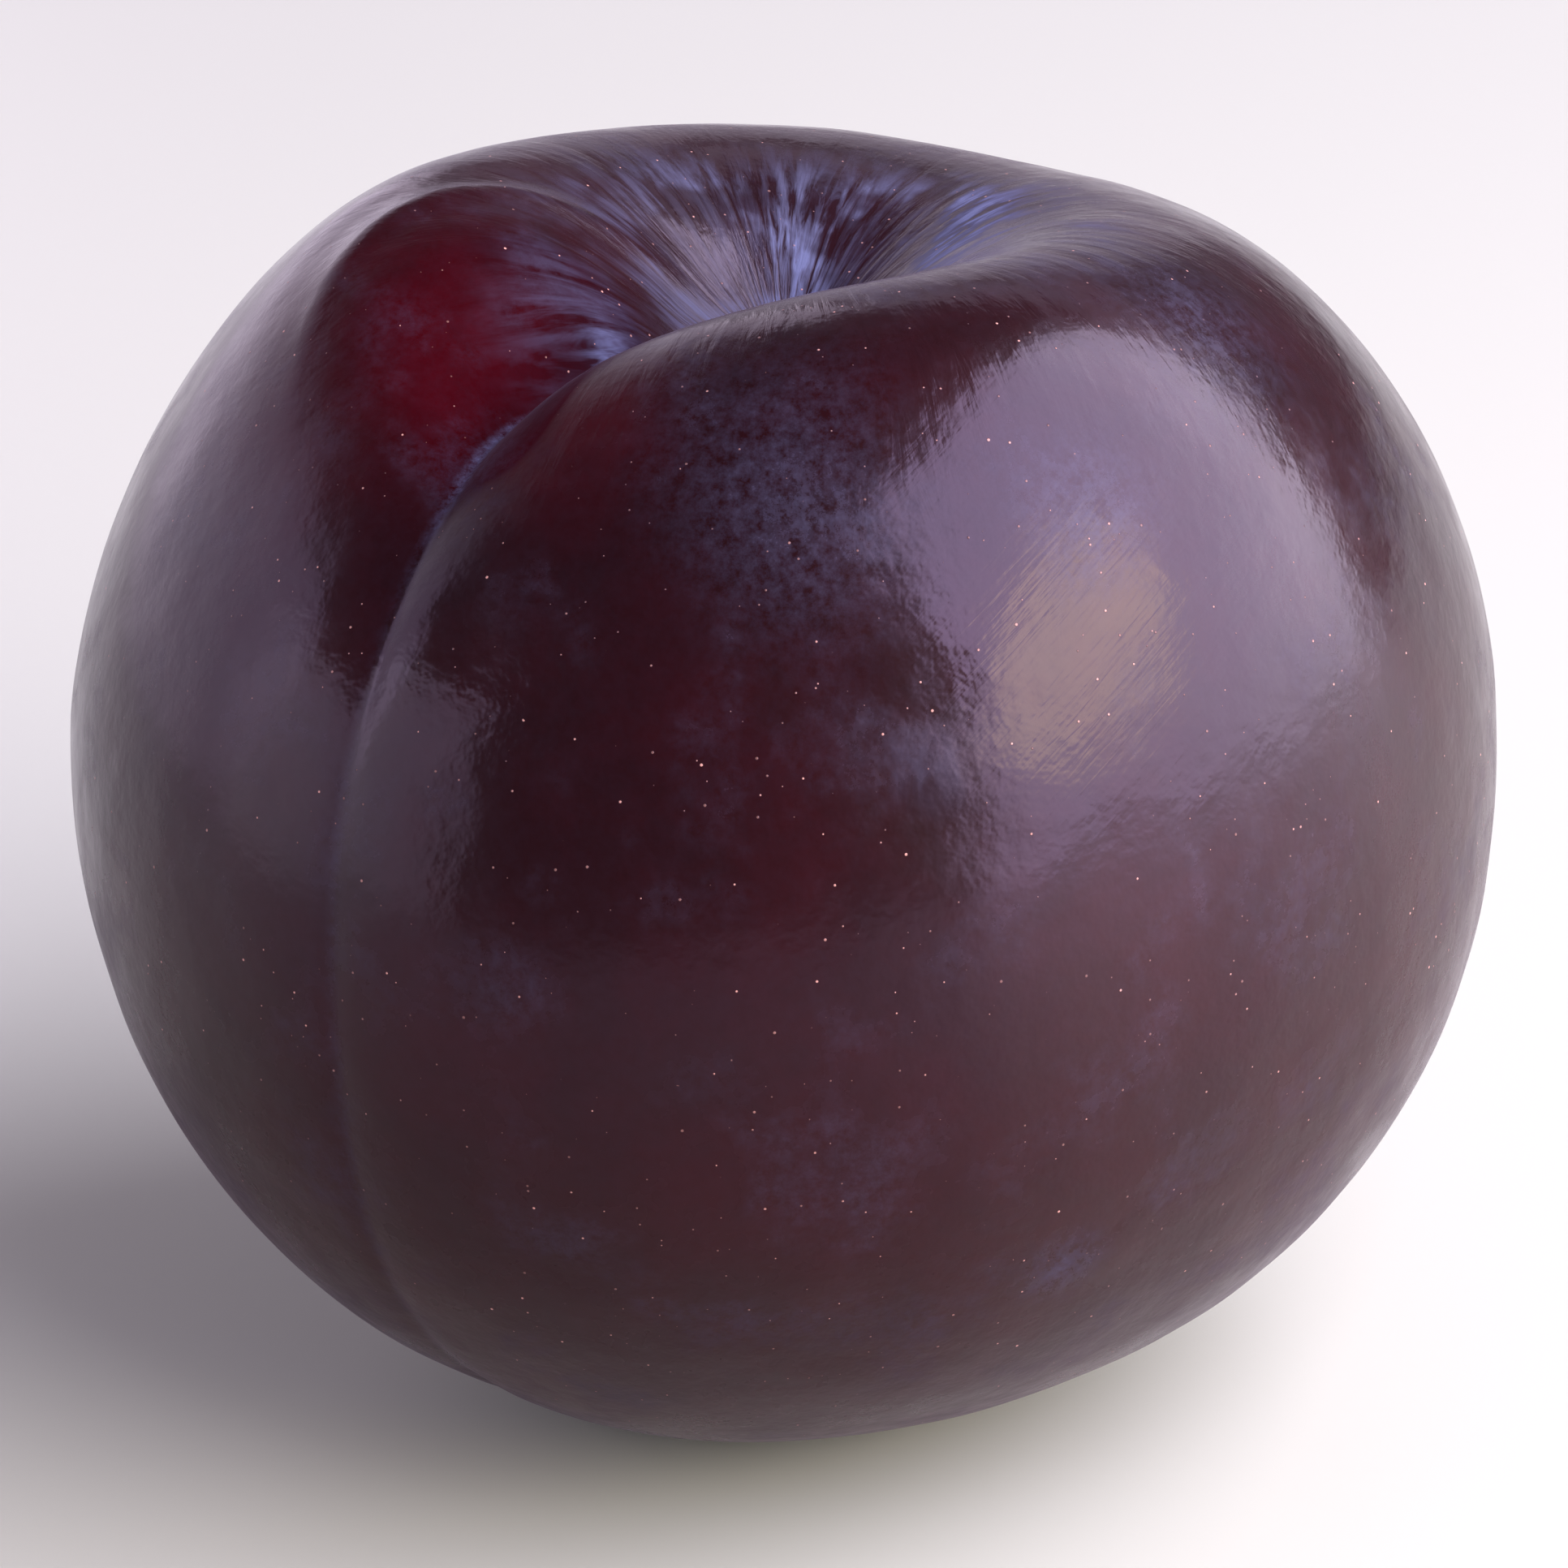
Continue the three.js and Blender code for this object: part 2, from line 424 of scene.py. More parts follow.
class PlumForm:
    """The skin's radius and the values of its pattern in each direction, in millimetres."""

    def __init__(self, shape):
        self.half_x = shape.half_width_x / MM
        self.half_y = shape.half_width_y / MM
        self.top = shape.reach_top / MM
        self.bottom = shape.reach_bottom / MM
        self.flat = shape.flat_spot_depth / MM
        self.hollow_depth = shape.hollow_depth / MM
        self.hollow_radius = shape.hollow_radius / MM
        self.seam_depth = shape.seam_depth / MM
        self.undulation = shape.undulation / MM
        self.crest_height = shape.crest / MM
        self.wrinkle = shape.wrinkle / MM
        self.swellings = []
        for azimuth, polar, reach, height in SWELLINGS:
            centre = direction_from(math.radians(azimuth), math.radians(polar))
            self.swellings.append((centre, math.radians(reach), height))

    def body(self, direction):
        """Radius of the smooth body, without lobes, hollow or seam."""
        across = math.hypot(direction.x / self.half_x, direction.y / self.half_y)
        reach = self.top if direction.z >= 0 else self.bottom
        fullness = FULLNESS_TOP if direction.z >= 0 else FULLNESS_BOTTOM
        along = abs(direction.z) / reach
        return (across**fullness + along**fullness) ** (-1 / fullness)

    def swelling(self, direction):
        """Height of all the swellings and dips together."""
        height = 0.0
        for centre, reach, top in self.swellings:
            turn = math.acos(min(max(direction.dot(centre), -1.0), 1.0))
            height += top * bell(turn, reach)
        return height

    def seam(self, direction):
        """Depth of the seam, and the distance from its line, positive on the line's right."""
        polar = math.degrees(math.acos(min(max(direction.z, -1.0), 1.0)))
        line = sum(
            math.radians(azimuth) * bell(polar - middle, reach)
            for azimuth, middle, reach in SEAM_BENDS
        )
        beside = wrap_angle(math.atan2(direction.x, -direction.y) - line)
        front_only = smooth_step((1 + math.cos(beside)) / 2)
        across = math.sin(beside) * math.hypot(direction.x, direction.y) * SEAM_RADIUS
        sides = VALLEY_RIGHT if across > 0 else VALLEY_LEFT
        valley = self.seam_depth * bell(polar - VALLEY_POLAR, VALLEY_REACH) + VALLEY_DEPTH_BELOW
        crease = CREASE_DEPTH * bell(polar - CREASE_POLAR, CREASE_REACH) + CREASE_DEPTH_BELOW
        valley *= sum(
            share * math.exp(-((abs(across) / width) ** shape)) for share, width, shape in sides
        )
        crease *= math.exp(-math.sqrt((across / CREASE_WIDTH) ** 2 + CREASE_ROUNDING))
        depth = smooth_step(polar / SEAM_START) * front_only * (valley + crease)
        behind = SEAM_RADIUS if math.cos(beside) < 0 else 0.0
        return depth, across + math.copysign(behind, across)

    def hollow(self, direction):
        """Depth of the stem hollow, and the distance from its middle."""
        x = direction.x * CROWN_RADIUS - HOLLOW_OFFSET
        y = direction.y * CROWN_RADIUS
        distance = math.hypot(x, y)
        if direction.z < 0:
            return 0.0, 2 * CROWN_RADIUS - distance
        turn = math.degrees(wrap_angle(math.atan2(x, -y) - math.radians(FLARE_AZIMUTH)))
        radius = self.hollow_radius + HOLLOW_FLARE * bell(turn, FLARE_REACH)
        depth = self.hollow_depth * math.exp(-((distance / radius) ** HOLLOW_STEEPNESS))
        depth += PIT_DEPTH * math.exp(-((distance / PIT_RADIUS) ** PIT_STEEPNESS))
        return depth, distance

    def crest(self, direction):
        """The low ridge along the left lobe, and the dip behind it."""
        polar = math.acos(min(max(direction.z, -1.0), 1.0))
        from_middle = math.degrees(polar) - CREST_POLAR
        line = math.radians(CREST_AZIMUTH + CREST_TURN * from_middle)
        beside = wrap_angle(math.atan2(direction.x, -direction.y) - line)
        across = math.sin(beside) * math.sin(polar) * SEAM_RADIUS
        profile = bell(across, CREST_WIDTH) - bell(across + DIP_OFFSET, DIP_WIDTH)
        same_side = smooth_step(2 * math.cos(beside))
        return self.crest_height * profile * same_side * bell(from_middle, CREST_REACH)

    def fine_relief(self, direction, stem_distance):
        """Gentle waves all over, wrinkles round the hollow, the stalk's scar and the crest."""
        waves = 0.0
        for often, share, start in WAVES:
            waves += share * noise.noise(direction * often + Vector(start))
        relief = self.undulation * waves
        ring = Vector((direction.x, direction.y, 0.0))
        if ring.length > 0.01 and direction.z > 0:
            ring.normalize()
            fan = 0.0
            for round_it, out, share, start in WRINKLES:
                spot = Vector((ring.x * round_it, ring.y * round_it, start + stem_distance * out))
                fan += share * noise.noise(spot)
            begun = smooth_step((stem_distance - WRINKLE_START) / WRINKLE_RISE)
            near = smooth_step((WRINKLE_END - stem_distance) / WRINKLE_FADE)
            relief += self.wrinkle * fan * (near * begun)
        rim = RIM_HEIGHT * bell(stem_distance - RIM_RADIUS, RIM_WIDTH)
        floor = -SCAR_DEPTH * bell(stem_distance, SCAR_RADIUS)
        return relief + rim + floor + self.crest(direction)

    def pressed_flat(self, z):
        """Height of a point once the blossom end is pressed flat where the fruit rests."""
        above = z + self.flat
        if above >= FLAT_SPOT_ROUNDING:
            return z
        share = max((above + FLAT_SPOT_ROUNDING) / (2 * FLAT_SPOT_ROUNDING), 0.0)
        return FLAT_SPOT_ROUNDING * share * share - self.flat

    def point(self, direction):
        """Place of the skin, the distance from the seam and the distance from the stem."""
        seam_depth, seam_distance = self.seam(direction)
        hollow_depth, stem_distance = self.hollow(direction)
        radius = self.body(direction) + self.swelling(direction) - seam_depth - hollow_depth
        radius += self.fine_relief(direction, stem_distance)
        place = direction * radius
        place.z = self.pressed_flat(place.z)
        return place, seam_distance, stem_distance


def crowded(coordinate):
    """A place along the cube's side, from -1 to 1, turned into a tangent for the ball."""
    return math.copysign(math.tan(abs(coordinate) ** GRID_CROWDING * math.pi / 4), coordinate)


def add_node(tree, kind, settings=None, inputs=None, output=0):
    """Adds a node with its settings, values and links, and returns the output that is wanted."""
    new = tree.nodes.new(kind)
    for name, value in (settings or {}).items():
        setattr(new, name, value)
    for key, value in (inputs or {}).items():
        if isinstance(value, bpy.types.NodeSocket):
            tree.links.new(value, new.inputs[key])
        else:
            new.inputs[key].default_value = value
    return new.outputs[output] if len(new.outputs) else new


def waxy_plum_skin(skin):
    """Plum skin: dark, smooth and glossy under its wax, which lies as a thin blue-grey bloom where
    nothing has rubbed it off, in the stem hollow, in the seam and in specks."""
    material = bpy.data.materials.new("waxy_plum_skin")
    material.use_nodes = True
    tree = material.node_tree
    tree.nodes.clear()
    place = add_node(tree, "ShaderNodeTexCoord", output="Object")
    height = add_node(tree, "ShaderNodeSeparateXYZ", inputs={0: place}, output="Z")
    seam = add_node(tree, "ShaderNodeAttribute", {"attribute_name": SEAM_DISTANCE}, output="Fac")
    stem = add_node(tree, "ShaderNodeAttribute", {"attribute_name": STEM_DISTANCE}, output="Fac")
    low = add_node(
        tree,
        "ShaderNodeMapRange",
        {"interpolation_type": "SMOOTHSTEP"},
        {
            "Value": height,
            "From Min": LOW_SIDE_START * MM,
            "From Max": LOW_SIDE_END * MM,
            "To Min": 1.0,
            "To Max": 0.0,
        },
    )
    rubbed = add_node(
        tree,
        "ShaderNodeTexNoise",
        inputs={"Vector": place, "Scale": 1 / (RUBBED_SIZE * MM), "Detail": 4.0, "Roughness": 0.68},
    )
    fan = fan_lines(tree, place, stem)
    colour = skin_colour(tree, place, low, skin)
    wax = bloom_share(tree, place, height, stem, seam, fan)
    pores, pore_height = pore_dots(tree, place, skin)
    cork = cork_share(tree, stem)
    for share, layer in ((wax, skin.bloom), (pores, skin.pore), (cork, skin.scar)):
        colour = add_node(
            tree, "ShaderNodeMix", {"data_type": "RGBA"}, {0: share, 6: colour, 7: layer}, 2
        )
    # Dullness, and on the flank of the left lobe painted shade that dims the reflections.
    dull_and_shade = patch_share(tree, place, DULL_AND_SHADE_PATCHES)
    # Tint of what the skin reflects: the wax's violet cast above, and a darker brownish tint low
    # down as painted shade.
    cast = add_node(
        tree, "ShaderNodeMix", {"data_type": "RGBA"}, {0: low, 6: skin.cast, 7: skin.low_cast_and_shade}, 2
    )
    coat = add_node(
        tree,
        "ShaderNodeMapRange",
        inputs={"Value": dull_and_shade, "From Min": 0.0, "From Max": 1.0, "To Min": COAT, "To Max": 0.0},
    )
    shader = add_node(
        tree,
        "ShaderNodeBsdfPrincipled",
        inputs={
            "Base Color": colour,
            "Roughness": skin_roughness(tree, rubbed, wax, low, dull_and_shade, cork),
            "IOR": WAX_IOR,
            "Specular IOR Level": gloss_share(tree, dull_and_shade, wax, low),
            "Specular Tint": cast,
            "Coat Weight": coat,
            "Coat Roughness": COAT_ROUGHNESS,
            "Coat IOR": WAX_IOR,
            "Sheen Weight": SHEEN,
            "Sheen Roughness": SHEEN_ROUGHNESS,
            "Sheen Tint": skin.cast,
            "Normal": skin_relief(tree, place, stem, fan, pore_height),
        },
    )
    add_node(tree, "ShaderNodeOutputMaterial", inputs={"Surface": shader})
    return material


def patch_share(tree, place, patches):
    """Sum of soft round patches, each strongest in its middle."""
    total = 0.0
    for centre, reach, strength in patches:
        away = add_node(
            tree,
            "ShaderNodeVectorMath",
            {"operation": "DISTANCE"},
            {0: place, 1: tuple(c * MM for c in centre)},
            output="Value",
        )
        patch = add_node(
            tree,
            "ShaderNodeMapRange",
            {"interpolation_type": "SMOOTHSTEP"},
            {"Value": away, "From Max": reach * MM, "To Min": strength, "To Max": 0.0},
        )
        total = add_node(tree, "ShaderNodeMath", {"operation": "ADD"}, {0: patch, 1: total})
    return total


def fan_lines(tree, place, stem):
    """Fine uneven lines that fan out of the stem hollow over the shoulders."""
    flat = add_node(
        tree, "ShaderNodeVectorMath", {"operation": "MULTIPLY"}, {0: place, 1: (1, 1, 0)}
    )
    ring = add_node(tree, "ShaderNodeVectorMath", {"operation": "NORMALIZE"}, {0: flat})
    lift = add_node(tree, "ShaderNodeCombineXYZ", inputs={"Z": stem})
    around = add_node(
        tree, "ShaderNodeVectorMath", {"operation": "SCALE"}, {0: ring, "Scale": FAN_ROUND}
    )
    along = add_node(
        tree, "ShaderNodeVectorMath", {"operation": "SCALE"}, {0: lift, "Scale": FAN_OUT}
    )
    spot = add_node(tree, "ShaderNodeVectorMath", {"operation": "ADD"}, {0: around, 1: along})
    return add_node(
        tree,
        "ShaderNodeTexNoise",
        inputs={"Vector": spot, "Scale": 1.0, "Detail": 4.0, "Roughness": 0.6, "Distortion": 0.5},
    )


def skin_colour(tree, place, low, skin):
    """Dark skin that turns crimson in mottles and in patches beside the seam, and brown low on the
    fruit.
    """
    mottle = add_node(
        tree,
        "ShaderNodeTexNoise",
        inputs={"Vector": place, "Scale": 1 / (MOTTLE_SIZE * MM), "Detail": 5.0, "Roughness": 0.68},
    )
    red = add_node(
        tree,
        "ShaderNodeMapRange",
        inputs={"Value": mottle, "From Min": 0.4, "From Max": 0.75, "To Min": 0.0, "To Max": 0.16},
    )
    uneven = add_node(
        tree,
        "ShaderNodeMapRange",
        inputs={"Value": mottle, "From Min": 0.3, "From Max": 0.7, "To Min": 0.75, "To Max": 1.25},
    )
    crimson_patches = patch_share(tree, place, BLUSH_PATCHES)
    crimson_patches = add_node(tree, "ShaderNodeMath", {"operation": "MULTIPLY"}, {0: crimson_patches, 1: uneven})
    red = add_node(
        tree, "ShaderNodeMath", {"operation": "ADD", "use_clamp": True}, {0: red, 1: crimson_patches}
    )
    base = add_node(
        tree, "ShaderNodeMix", {"data_type": "RGBA"}, {0: low, 6: skin.dark, 7: skin.brown}, 2
    )
    return add_node(
        tree, "ShaderNodeMix", {"data_type": "RGBA"}, {0: red, 6: base, 7: skin.blush}, 2
    )


def bloom_share(tree, place, height, stem, seam, fan):
    """How much of the wax bloom is left: most in the hollow and the seam, in specks elsewhere."""
    hollow = add_node(
        tree,
        "ShaderNodeMapRange",
        {"interpolation_type": "SMOOTHSTEP"},
        {"Value": stem, "From Min": 6.0, "From Max": 15.0, "To Min": 0.95, "To Max": 0.0},
    )
    depth = add_node(tree, "ShaderNodeSeparateXYZ", inputs={0: place}, output="Y")
    rear = add_node(
        tree,
        "ShaderNodeMapRange",
        {"interpolation_type": "SMOOTHSTEP"},
        {"Value": depth, "From Min": -7 * MM, "From Max": 9 * MM, "To Min": 0.12, "To Max": 1.0},
    )
    hollow = add_node(tree, "ShaderNodeMath", {"operation": "MULTIPLY"}, {0: hollow, 1: rear})
    thick = patch_share(tree, place, THICK_PATCHES)
    hollow = add_node(tree, "ShaderNodeMath", {"operation": "ADD"}, {0: hollow, 1: thick})
    streaks = add_node(
        tree,
        "ShaderNodeMapRange",
        inputs={"Value": fan, "From Min": 0.4, "From Max": 0.64, "To Min": 0.05, "To Max": 1.35},
    )
    hollow = add_node(tree, "ShaderNodeMath", {"operation": "MULTIPLY"}, {0: hollow, 1: streaks})
    broad = add_node(
        tree,
        "ShaderNodeTexNoise",
        inputs={"Vector": place, "Scale": 1 / (BLOOM_SIZE * MM), "Detail": 3.0, "Roughness": 0.55},
    )
    sectors = add_node(
        tree,
        "ShaderNodeMapRange",
        {"interpolation_type": "SMOOTHSTEP"},
        {"Value": broad, "From Min": 0.4, "From Max": 0.56, "To Min": 0.15, "To Max": 1.0},
    )
    hollow = add_node(tree, "ShaderNodeMath", {"operation": "MULTIPLY"}, {0: hollow, 1: sectors})
    specks = add_node(
        tree,
        "ShaderNodeTexNoise",
        inputs={"Vector": place, "Scale": 1 / (SPECK_SIZE * MM), "Detail": 4.0, "Roughness": 0.8},
    )
    specks = add_node(
        tree,
        "ShaderNodeMapRange",
        inputs={"Value": specks, "From Min": 0.35, "From Max": 0.85, "To Min": 0.0, "To Max": 1.6},
    )
    apart = add_node(tree, "ShaderNodeMath", {"operation": "ABSOLUTE"}, {0: seam})
    groove = add_node(
        tree,
        "ShaderNodeMapRange",
        {"interpolation_type": "SMOOTHSTEP"},
        {"Value": apart, "From Min": 0.0, "From Max": 0.55, "To Min": 0.8, "To Max": 0.0},
    )
    upper = add_node(
        tree,
        "ShaderNodeMapRange",
        {"interpolation_type": "SMOOTHSTEP"},
        {"Value": height, "From Min": 46 * MM, "From Max": 53 * MM, "To Min": 0.06, "To Max": 1.0},
    )
    groove = add_node(tree, "ShaderNodeMath", {"operation": "MULTIPLY"}, {0: groove, 1: upper})
    gathered = patch_share(tree, place, SPECK_PATCHES)
    thin = add_node(
        tree,
        "ShaderNodeMapRange",
        {"interpolation_type": "SMOOTHSTEP"},
        {"Value": broad, "From Min": 0.48, "From Max": 0.68, "To Min": 0.01, "To Max": 0.07},
    )
    crumbs = add_node(tree, "ShaderNodeMath", {"operation": "ADD"}, {0: gathered, 1: thin})
    crumbs = add_node(tree, "ShaderNodeMath", {"operation": "ADD"}, {0: crumbs, 1: groove})
    crumbs = add_node(tree, "ShaderNodeMath", {"operation": "MULTIPLY"}, {0: crumbs, 1: specks})
    haze = patch_share(tree, place, HAZE_PATCHES)
    haze = add_node(tree, "ShaderNodeMath", {"operation": "MULTIPLY"}, {0: haze, 1: streaks})
    hollow = add_node(tree, "ShaderNodeMath", {"operation": "ADD"}, {0: hollow, 1: haze})
    return add_node(
        tree, "ShaderNodeMath", {"operation": "ADD", "use_clamp": True}, {0: hollow, 1: crumbs}
    )


def pore_dots(tree, place, skin):
    """Pale pores, a tenth of a millimetre or two across, scattered unevenly."""
    away = add_node(
        tree,
        "ShaderNodeTexVoronoi",
        {"feature": "F1", "voronoi_dimensions": "3D"},
        {"Vector": place, "Scale": 1 / skin.pore_spacing},
        "Distance",
    )
    chance = add_node(tree, "ShaderNodeSeparateColor", inputs={0: away.node.outputs["Color"]})
    size = add_node(
        tree,
        "ShaderNodeMapRange",
        inputs={"Value": chance, "From Min": 0.15, "From Max": 1.0, "To Min": 0.0, "To Max": 0.13},
    )
    inside = add_node(tree, "ShaderNodeMath", {"operation": "SUBTRACT"}, {0: size, 1: away})
    dot = add_node(
        tree,
        "ShaderNodeMapRange",
        {"interpolation_type": "SMOOTHSTEP"},
        {"Value": inside, "From Min": 0.0, "From Max": 0.05, "To Min": 0.0, "To Max": 1.0},
    )
    bright = add_node(
        tree,
        "ShaderNodeMapRange",
        {"interpolation_type": "SMOOTHERSTEP"},
        {
            "Value": chance.node.outputs[1],
            "From Min": 0.2,
            "From Max": 1.0,
            "To Min": 0.25,
            "To Max": 0.95,
        },
    )
    shown = add_node(tree, "ShaderNodeMath", {"operation": "MULTIPLY"}, {0: dot, 1: bright})
    return shown, dot


def cork_share(tree, stem):
    """The dry scar on the floor of the hollow, where the stalk sat, and the flower's below."""
    scars = []
    for (start, end), at_start, at_end in ((STALK_SCAR, 0.85, 0.0), (FLOWER_SCAR, 0.0, 0.8)):
        scar = add_node(
            tree,
            "ShaderNodeMapRange",
            {"interpolation_type": "SMOOTHSTEP"},
            {
                "Value": stem,
                "From Min": start,
                "From Max": end,
                "To Min": at_start,
                "To Max": at_end,
            },
        )
        scars.append(scar)
    return add_node(tree, "ShaderNodeMath", {"operation": "ADD"}, {0: scars[0], 1: scars[1]})


def gloss_share(tree, dull_and_shade, wax, low):
    """How strongly the skin reflects: less where it is dull, on the left lobe's flank as painted
    shade, under bloom and low down.
    """
    gloss = GLOSS
    for share, change in (
        (dull_and_shade, GLOSS_CHANGE_DULL_AND_SHADE),
        (wax, GLOSS_CHANGE_WAX),
        (low, GLOSS_CHANGE_LOW),
    ):
        gloss = add_node(
            tree,
            "ShaderNodeMath",
            {"operation": "MULTIPLY_ADD", "use_clamp": True},
            {0: share, 1: change, 2: gloss},
        )
    return gloss


def skin_roughness(tree, rubbed, wax, low, dull_and_shade, cork):
    """Glossy where rubbed, duller under bloom, low on the fruit, on the flank and on the scar."""
    rough = add_node(
        tree,
        "ShaderNodeMapRange",
        inputs={"Value": rubbed, "From Min": 0.35, "From Max": 0.65, "To Min": 0.12, "To Max": 0.26},
    )
    for share, added in (
        (wax, ROUGH_ADDED_WAX),
        (low, ROUGH_ADDED_LOW),
        (dull_and_shade, ROUGH_ADDED_DULL),
        (cork, ROUGH_ADDED_CORK),
    ):
        rough = add_node(
            tree, "ShaderNodeMath", {"operation": "MULTIPLY_ADD"}, {0: share, 1: added, 2: rough}
        )
    return add_node(tree, "ShaderNodeMath", {"operation": "MINIMUM"}, {0: rough, 1: ROUGHEST})


def scratch_lines(tree, place):
    """Fine slanting scratches in the wax."""
    spot = []
    for direction, size in ((SCRATCH_ALONG, SCRATCH_LENGTH), (SCRATCH_ACROSS, SCRATCH_SPACING)):
        axis = tuple(c / (size * MM) for c in direction)
        step = add_node(
            tree,
            "ShaderNodeVectorMath",
            {"operation": "DOT_PRODUCT"},
            {0: place, 1: axis},
            output="Value",
        )
        spot.append(step)
    return add_node(
        tree,
        "ShaderNodeTexNoise",
        {"noise_dimensions": "2D"},
        {
            "Vector": add_node(tree, "ShaderNodeCombineXYZ", inputs={"X": spot[0], "Y": spot[1]}),
            "Scale": 1.0,
            "Detail": 2.0,
            "Roughness": 0.6,
            "Distortion": 0.3,
        },
    )


def skin_relief(tree, place, stem, fan, pore_height):
    """Relief too fine for the mesh: shallow dents, fanning lines, pores and scratches."""
    dents = add_node(
        tree,
        "ShaderNodeTexNoise",
        inputs={"Vector": place, "Scale": 1 / (DENT_SIZE * MM), "Detail": 4.0, "Roughness": 0.58},
    )
    near = add_node(
        tree,
        "ShaderNodeMapRange",
        {"interpolation_type": "SMOOTHSTEP"},
        {
            "Value": stem,
            "From Min": 12.0,
            "From Max": 25.0,
            "To Min": FAN_HEIGHT,
            "To Max": FAN_HEIGHT_FAR,
        },
    )
    relief = add_node(tree, "ShaderNodeMath", {"operation": "MULTIPLY"}, {0: fan, 1: near})
    scratches = scratch_lines(tree, place)
    scratched = patch_share(tree, place, SCRATCH_PATCHES)
    for pattern, height in (
        (dents, DENT_HEIGHT),
        (pore_height, PORE_HEIGHT),
        (scratches, scratched),
    ):
        relief = add_node(
            tree, "ShaderNodeMath", {"operation": "MULTIPLY_ADD"}, {0: pattern, 1: height, 2: relief}
        )
    return add_node(
        tree, "ShaderNodeBump", inputs={"Strength": 1.0, "Distance": MM, "Height": relief}
    )


class PLUM_OT_skin(bpy.types.Operator):
    """Build the plum's skin with its bloom, pores and scars"""

    bl_idname = "plum.skin"
    bl_label = "Plum Skin"

    def execute(self, context):
        form = PlumForm(context.scene.plum_shape)
        mesh = bpy.data.meshes.new("plum_skin")
        bm = bmesh.new()
        bmesh.ops.create_cube(bm, size=2.0)
        cuts = context.scene.plum_shape.grid_cuts
        bmesh.ops.subdivide_edges(bm, edges=bm.edges, cuts=cuts, use_grid_fill=True)
        seam_layer = bm.verts.layers.float.new(SEAM_DISTANCE)
        stem_layer = bm.verts.layers.float.new(STEM_DISTANCE)
        for vert in bm.verts:
            direction = Vector([crowded(c) for c in vert.co]).normalized()
            place, vert[seam_layer], vert[stem_layer] = form.point(direction)
            vert.co = place * MM
        low = Vector([min(vert.co[i] for vert in bm.verts) for i in range(3)])
        high = Vector([max(vert.co[i] for vert in bm.verts) for i in range(3)])
        middle = (solid_low + solid_high) / 2 - (low + high) / 2
        bmesh.ops.translate(bm, verts=bm.verts, vec=(middle.x, middle.y, solid_low.z - low.z))
        for face in bm.faces:
            face.smooth = True
        bmesh.ops.recalc_face_normals(bm, faces=bm.faces)
        bm.to_mesh(mesh)
        bm.free()
        skin = bpy.data.objects.new("plum_skin", mesh)
        context.scene.collection.objects.link(skin)
        mesh.materials.append(waxy_plum_skin(context.scene.plum_skin))
        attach(skin, "root")
        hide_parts("plum")
        return {"FINISHED"}


def matte_floor_paint(studio):
    """Matte pale paint: soft, even and without a pattern, so that only the fruit draws the eye."""
    material = bpy.data.materials.new("matte_floor_paint")
    material.use_nodes = True
    tree = material.node_tree
    tree.nodes.clear()
    shader = add_node(
        tree,
        "ShaderNodeBsdfPrincipled",
        inputs={"Base Color": studio.floor, "Roughness": PAINT_ROUGHNESS, "IOR": PAINT_IOR},
    )
    add_node(tree, "ShaderNodeOutputMaterial", inputs={"Surface": shader})
    return material


def look_direction(azimuth, elevation):
    """Unit vector from the fruit towards a place in the studio."""
    return direction_from(azimuth, math.pi / 2 - elevation)


def add_panel(context, name, azimuth, elevation, distance, size, watts, code, roll, shape):
    """A soft light panel that faces the fruit."""
    light = bpy.data.lights.new(name, "AREA")
    light.shape = shape
    light.size, light.size_y = size
    light.energy = watts
    light.color = linear_colour(code)[:3]
    panel = bpy.data.objects.new(name, light)
    back = look_direction(math.radians(azimuth), math.radians(elevation))
    middle = Vector((0.0, 0.0, (solid_low.z + solid_high.z) / 2))
    panel.location = middle + back * distance
    panel.rotation_mode = "QUATERNION"
    lean = Quaternion((0.0, 0.0, 1.0), math.radians(roll))
    panel.rotation_quaternion = back.to_track_quat("Z", "Y") @ lean
    context.scene.collection.objects.link(panel)


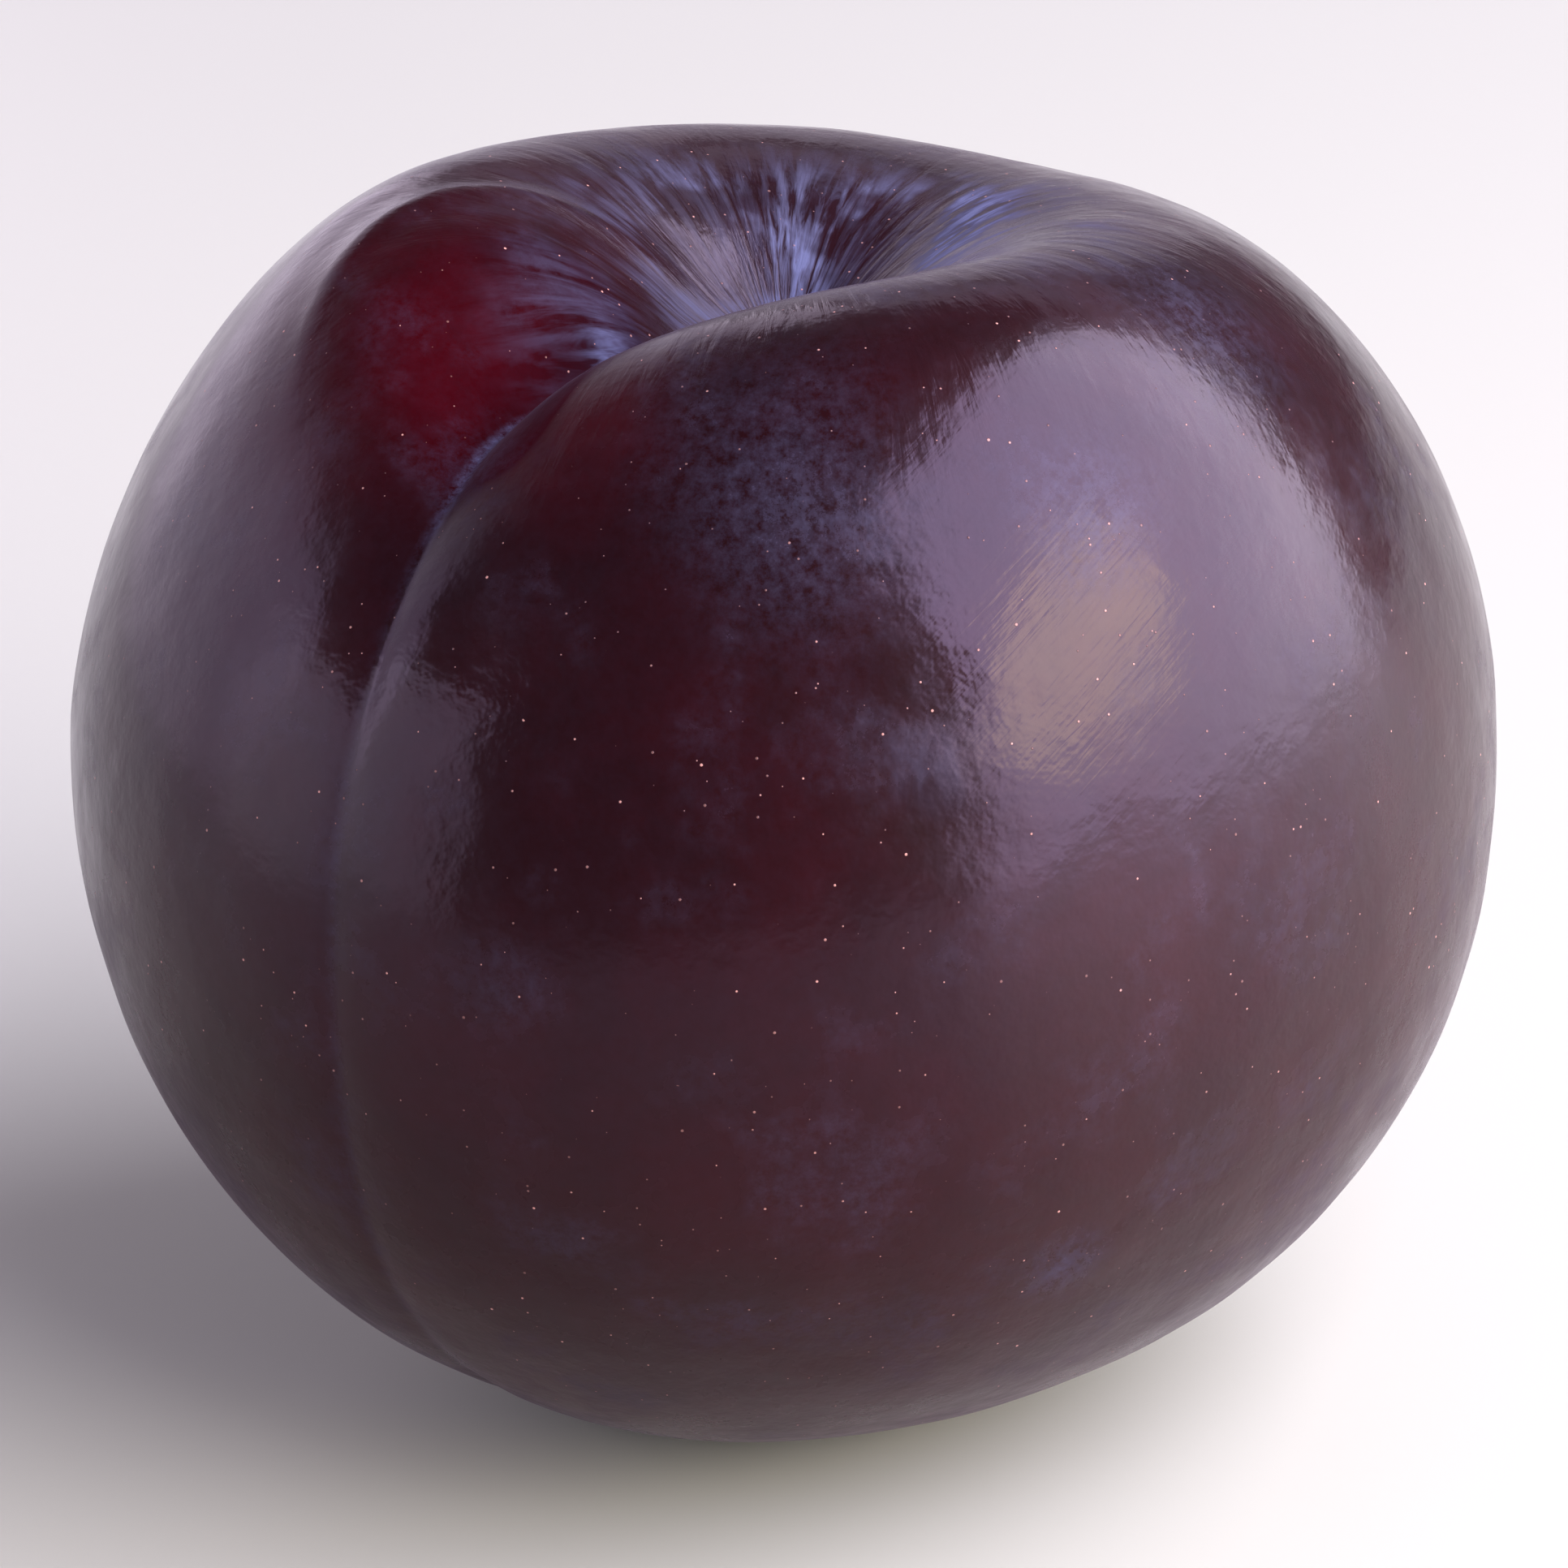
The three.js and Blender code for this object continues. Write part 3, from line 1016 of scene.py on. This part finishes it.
class PLUM_OT_stage(bpy.types.Operator):
    """Lay the floor, hang the lights and set the camera"""

    bl_idname = "plum.stage"
    bl_label = "Plum Stage"

    def execute(self, context):
        studio = context.scene.plum_studio
        self.lay_floor(context, studio)
        self.hang_lights(context)
        self.set_camera(context, studio)
        context.scene.view_settings.view_transform = "Standard"
        return {"FINISHED"}

    def lay_floor(self, context, studio):
        mesh = bpy.data.meshes.new("floor")
        bm = bmesh.new()
        bmesh.ops.create_grid(bm, x_segments=1, y_segments=1, size=studio.floor_size / 2)
        bm.to_mesh(mesh)
        bm.free()
        floor = bpy.data.objects.new("floor", mesh)
        floor.data.materials.append(matte_floor_paint(studio))
        context.scene.collection.objects.link(floor)

    def hang_lights(self, context):
        for panel in PANELS:
            add_panel(context, *panel)
        world = bpy.data.worlds.new("studio_air")
        world.use_nodes = True
        tree = world.node_tree
        tree.nodes.clear()
        air = add_node(
            tree, "ShaderNodeBackground", inputs={"Color": AIR_COLOUR, "Strength": AIR_STRENGTH}
        )
        add_node(tree, "ShaderNodeOutputWorld", inputs={"Surface": air})
        context.scene.world = world

    def set_camera(self, context, studio):
        camera = bpy.data.cameras.new("camera")
        camera.sensor_width = SENSOR_WIDTH
        camera.lens = SENSOR_WIDTH * FOCAL_LENGTH / PICTURE_WIDTH
        view = bpy.data.objects.new("camera", camera)
        back = look_direction(studio.camera_azimuth, studio.camera_elevation)
        aim = Vector((0.0, 0.0, AIM_HEIGHT * MM))
        view.location = aim + back * studio.camera_distance
        view.rotation_mode = "QUATERNION"
        view.rotation_quaternion = back.to_track_quat("Z", "Y")
        context.scene.collection.objects.link(view)
        context.scene.camera = view


class PLUM_PT_panel(bpy.types.Panel):
    """Lists the steps that build the plum and their settings"""

    bl_label = "Plum"
    bl_space_type = "VIEW_3D"
    bl_region_type = "UI"
    bl_category = "Plum"

    def draw(self, context):
        layout = self.layout
        for heading, group, operator in (
            ("Shape", context.scene.plum_shape, None),
            ("Skin", context.scene.plum_skin, PLUM_OT_skin),
            ("Studio", context.scene.plum_studio, PLUM_OT_stage),
        ):
            box = layout.box()
            box.label(text=heading)
            for name in group.__annotations__:
                box.prop(group, name)
            if operator:
                box.operator(operator.bl_idname)


CLASSES = (
    PlumShapeSettings,
    PlumSkinSettings,
    PlumStudioSettings,
    PLUM_OT_skin,
    PLUM_OT_stage,
    PLUM_PT_panel,
)


def register():
    for cls in CLASSES:
        bpy.utils.register_class(cls)
    bpy.types.Scene.plum_shape = PointerProperty(type=PlumShapeSettings)
    bpy.types.Scene.plum_skin = PointerProperty(type=PlumSkinSettings)
    bpy.types.Scene.plum_studio = PointerProperty(type=PlumStudioSettings)


def unregister():
    del bpy.types.Scene.plum_studio
    del bpy.types.Scene.plum_skin
    del bpy.types.Scene.plum_shape
    for cls in reversed(CLASSES):
        bpy.utils.unregister_class(cls)


def main():
    register()
    bpy.ops.plum.skin()
    bpy.ops.plum.stage()


if __name__ == "__main__":
    main()
